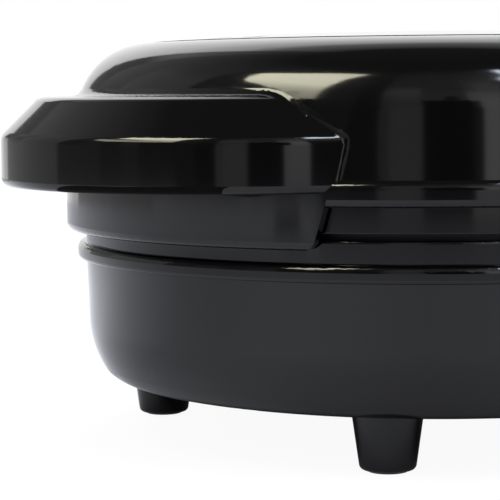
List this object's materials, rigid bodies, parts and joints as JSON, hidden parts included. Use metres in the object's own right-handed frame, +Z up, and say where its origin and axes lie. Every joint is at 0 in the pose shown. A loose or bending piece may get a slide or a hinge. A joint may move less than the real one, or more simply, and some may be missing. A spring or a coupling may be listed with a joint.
{
  "type": "omelette maker",
  "caption": "Round countertop omelette maker with a hinged domed lid, a moulded front handle, half-moon non-stick wells in both plates and conical feet.",
  "frame": {"origin": "on the table, under the centre of the closed object's bounding box", "axes": "+Z up, -Y towards the handle at the front, +Y towards the hinge at the back"},
  "size_m": [0.2194, 0.2602, 0.1183],
  "materials": {
    "housing_black": "high gloss moulded black plastic",
    "nonstick_black": "satin black non-stick coating on cast aluminium",
    "heater_steel": "heat-dulled steel tube",
    "zinc_steel": "zinc-plated steel",
    "reflector_aluminium": "bright pressed sheet",
    "ceramic_white": "unglazed off-white",
    "fuse_metal": "plain metal",
    "rubber_black": "matt black rubber",
    "lens_red": "clear red plastic",
    "lens_green": "clear green plastic",
    "lamp_glass": "clear glass"
  },
  "bodies": {
    "base": {"base_shell": "housing_black", "base_frame": "housing_black", "lower_plate": "nonstick_black", "lower_heater": "heater_steel", "lower_heater_clamps": "zinc_steel", "lower_clamp_screws": "zinc_steel", "lower_reflector": "reflector_aluminium", "thermostat": "ceramic_white", "thermal_fuse": "fuse_metal", "terminal_block": "ceramic_white", "cord_gland": "rubber_black", "foot_front_left": "housing_black", "foot_front_right": "housing_black", "foot_rear_right": "housing_black", "foot_rear_left": "housing_black", "foot_pads": "rubber_black", "foot_screws": "zinc_steel", "base_screws": "zinc_steel", "hinge_pin": "zinc_steel"},
    "lid": {"lid_shell": "housing_black", "crown_panel": "housing_black", "lid_frame": "housing_black", "upper_plate": "nonstick_black", "upper_heater": "heater_steel", "upper_heater_clamps": "zinc_steel", "upper_clamp_screws": "zinc_steel", "upper_reflector": "reflector_aluminium", "upper_thermal_fuse": "fuse_metal", "lid_screws": "zinc_steel", "handle_cover": "housing_black", "handle_screws": "zinc_steel", "power_lens": "lens_red", "ready_lens": "lens_green", "lamp_holder": "ceramic_white", "lamps": "lamp_glass"}
  },
  "joints": [
    {"name": "lid_hinge", "type": "hinge", "parent": "base", "child": "lid", "pos_m": [0, 0.1231, 0.064], "axis": [-1, 0, 0], "range_deg": [0, 100]}
  ]
}
